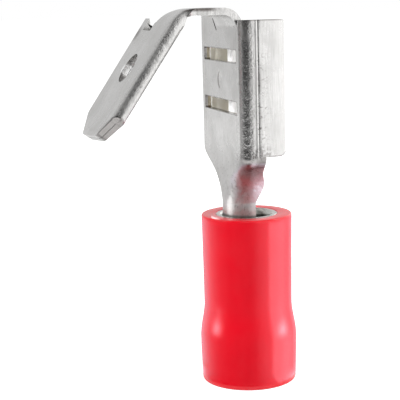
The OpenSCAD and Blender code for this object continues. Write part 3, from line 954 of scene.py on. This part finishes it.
class TERMINAL_OT_stage(bpy.types.Operator):
    """Adds the pale floor, the lamps, the cards, the room and the camera"""
    bl_idname = "terminal.stage"
    bl_label = "Stage"

    def execute(self, context):
        scene = context.scene
        mesh = bpy.data.meshes.new("studio_floor")
        mesh.from_pydata([(-1.5, -1.5, 0), (1.5, -1.5, 0), (1.5, 1.5, 0), (-1.5, 1.5, 0)], [], [[0, 1, 2, 3]])
        floor = bpy.data.objects.new("studio_floor", mesh)
        mesh.materials.append(floor_material(scene.terminal_finish))
        scene.collection.objects.link(floor)

        # name, place, aim, width and height in metres, and watts
        lamps = [("right_softbox", (0.05, 0.17, 0.085), (0, 0, 0.010), 0.10, 0.09, 0.26),
                 ("left_softbox", (-0.02, -0.16, 0.08), (0, 0, 0.006), 0.08, 0.08, 0.16),
                 ("front_softbox", (0.17, -0.05, 0.17), (0, 0, 0.006), 0.1, 0.1, 0.22),
                 ("top_softbox", (0.0, 0.0, 0.26), (0, -0.002, 0.012), 0.2, 0.2, 0.18)]
        for name, spot, aim, w, h, power in lamps:
            data = bpy.data.lights.new(name, "AREA")
            data.shape, data.size, data.size_y, data.energy = "RECTANGLE", w, h, power
            lamp = bpy.data.objects.new(name, data)
            lamp.location = spot
            lamp.rotation_euler = (Vector(aim) - Vector(spot)).to_track_quat("-Z", "Y").to_euler()
            lamp.visible_camera, lamp.visible_glossy = False, name != "top_softbox"
            scene.collection.objects.link(lamp)

        # cards that only show as the dark and bright bands in the metal and plastic: name, the tone at
        # some angles, then radius, height and share of the tone from the inner edge up, then any spots
        low = [(0.003, 0.0002, 1)] + [(0.0044, 0.0002 + 0.00035 * i, 1) for i in range(28)]
        low.append((0.0044, 0.0099, 0.6))
        cards = [("dark_card", [(-142, 1.0), (-128, 0.62), (-85, 0.38), (-60, 0.06), (-9, 0.03), (3, 0.35),
                                (11, 1.6)],
                  [(0.056, 0.0004, 1), (0.056, 0.05, 1), (0.054, 0.1, 1)], []),
                 ("sleeve_card", [(-150, 0.6), (-128, 1.25), (-110, 1.5), (-92, 1.05), (-73, 0.35), (-50, 0.0),
                                  (-16, 0.0), (-8, 0.15), (5, 0.8), (18, 1.35), (24, 3.6), (48, 3.2), (60, 2.2),
                                  (72, 1.2), (150, 0.6)], low,
                  [(-78, 0.0036, 9, 0.0004, 8), (43, 0.0034, 11, 0.0004, 9)]),
                 ("foot_card", [(-97, 0), (-90, 2.8), (-76, 2.8), (-60, 0)],
                  [(0.0022, 0.01028, 1), (0.0022, 0.0109, 1), (0.00225, 0.0113, 0)], []),
                 ("grey_card", [(-195, 1.0), (-180, 0.92), (-120, 0.92), (-100, 1.0)],
                  [(0.004, 0.0003, 0.75), (0.01, 0.0003, 0.85), (0.03, 0.0003, 1.1), (0.075, 0.0003, 1.1),
                   (0.085, 0.0003, 1), (0.1, 0.0003, 1.25), (0.13, 0.0003, 1.35)], []),
                 ("white_card", [(10, 1.65), (150, 1.65)],
                  [(0.06, 0.0004, 1), (0.12, 0.0004, 1), (0.121, 0.05, 1), (0.12, 0.08, 1)], [])]
        glow, cool = card_material("soft_card", (1, 1, 1)), card_material("cool_card", (1.0, 0.94, 1.08))
        for name, stops, line, spots in cards:
            card = ring_card(name, stops, line, spots)
            card.data.materials.append(cool if name == "sleeve_card" else glow)
            card.visible_camera = card.visible_diffuse = card.visible_shadow = False
            card.visible_transmission = False
            scene.collection.objects.link(card)

        world = bpy.data.worlds.new("soft_white_room")
        scene.world = world
        world.use_nodes = True
        tree = world.node_tree
        tree.nodes.clear()
        path = add(tree, "LightPath")
        seen = path.outputs["Is Camera Ray"]
        for ray in ("Is Transmission Ray", "Is Glossy Ray"):
            seen = add(tree, "Math", {0: seen, 1: path.outputs[ray]}, operation="MAXIMUM")
        # the room is white to the eye, and a little darker in gloss above the horizon and overhead
        room = add(tree, "Background", Color=WHITE, Strength=0.45)
        way = add(tree, "SeparateXYZ", {0: add(tree, "TexCoord").outputs["Generated"]})
        ceiling = add(tree, "MapRange", {0: way.outputs[2]}, i1=0.75, i2=0.93, i3=0.0, i4=0.45)
        wall = add(tree, "MapRange", {0: way.outputs[2]}, i1=0.0, i2=0.16, i3=0.0, i4=0.2)
        ceiling = add(tree, "Math", {0: ceiling, 1: wall}, operation="ADD")
        ceiling = add(tree, "Math", {0: ceiling, 1: path.outputs["Is Glossy Ray"]}, operation="MULTIPLY")
        level = add(tree, "Math", {1: ceiling}, operation="SUBTRACT", i0=1.0)
        white = add(tree, "Background", {"Strength": level}, Color=WHITE)
        mixed = add(tree, "MixShader", {0: seen, 1: room, 2: white})
        add(tree, "OutputWorld", {0: mixed})

        # camera: 17 degrees off the blade's edge and 10 degrees up, at 69 mm
        yaw, pitch, rolled = (math.radians(v) for v in (17.0, 9.97, 1.459))
        back = Vector((math.cos(yaw) * math.cos(pitch), -math.sin(yaw) * math.cos(pitch), math.sin(pitch)))
        across = Vector((math.sin(yaw), math.cos(yaw), 0))
        up = back.cross(across)
        right = across * math.cos(rolled) - up * math.sin(rolled)
        above = across * math.sin(rolled) + up * math.cos(rolled)
        eye = Vector((0, 0, 11)) - 2.779 * right + 0.022 * above + 69.04 * back
        data = bpy.data.cameras.new("camera")
        data.sensor_width, data.lens, data.clip_start = 36.0, 103.27, 0.005
        camera = bpy.data.objects.new("camera", data)
        turn = Matrix((right, above, back)).transposed()
        camera.matrix_world = Matrix.Translation(eye * MM) @ turn.to_4x4()
        scene.collection.objects.link(camera)
        scene.camera = camera
        scene.view_settings.view_transform = "Standard"
        return {"FINISHED"}


class TERMINAL_PT_panel(bpy.types.Panel):
    """Lists the pieces and their settings"""
    bl_label = "Spade Terminal"
    bl_idname = "TERMINAL_PT_panel"
    bl_space_type = "VIEW_3D"
    bl_region_type = "UI"
    bl_category = "Terminal"

    def draw(self, context):
        layout = self.layout
        for name in ("strip", "ferrule", "sleeve", "stage"):
            layout.operator(f"terminal.{name}")
        for group in ("terminal_strip", "terminal_sleeve", "terminal_finish"):
            box = layout.box()
            settings = getattr(context.scene, group)
            for key in settings.__annotations__:
                box.prop(settings, key)


GROUPS = {"terminal_strip": StripSettings, "terminal_sleeve": SleeveSettings, "terminal_finish": FinishSettings}
CLASSES = [*GROUPS.values(), TERMINAL_OT_strip, TERMINAL_OT_ferrule, TERMINAL_OT_sleeve, TERMINAL_OT_stage,
           TERMINAL_PT_panel]


def register():
    for c in CLASSES:
        bpy.utils.register_class(c)
    for name, group in GROUPS.items():
        setattr(bpy.types.Scene, name, PointerProperty(type=group))


def unregister():
    for name in GROUPS:
        delattr(bpy.types.Scene, name)
    for c in reversed(CLASSES):
        bpy.utils.unregister_class(c)


def main():
    register()
    bpy.ops.terminal.strip()
    bpy.ops.terminal.ferrule()
    bpy.ops.terminal.sleeve()
    bpy.ops.terminal.stage()


if __name__ == "__main__":
    main()
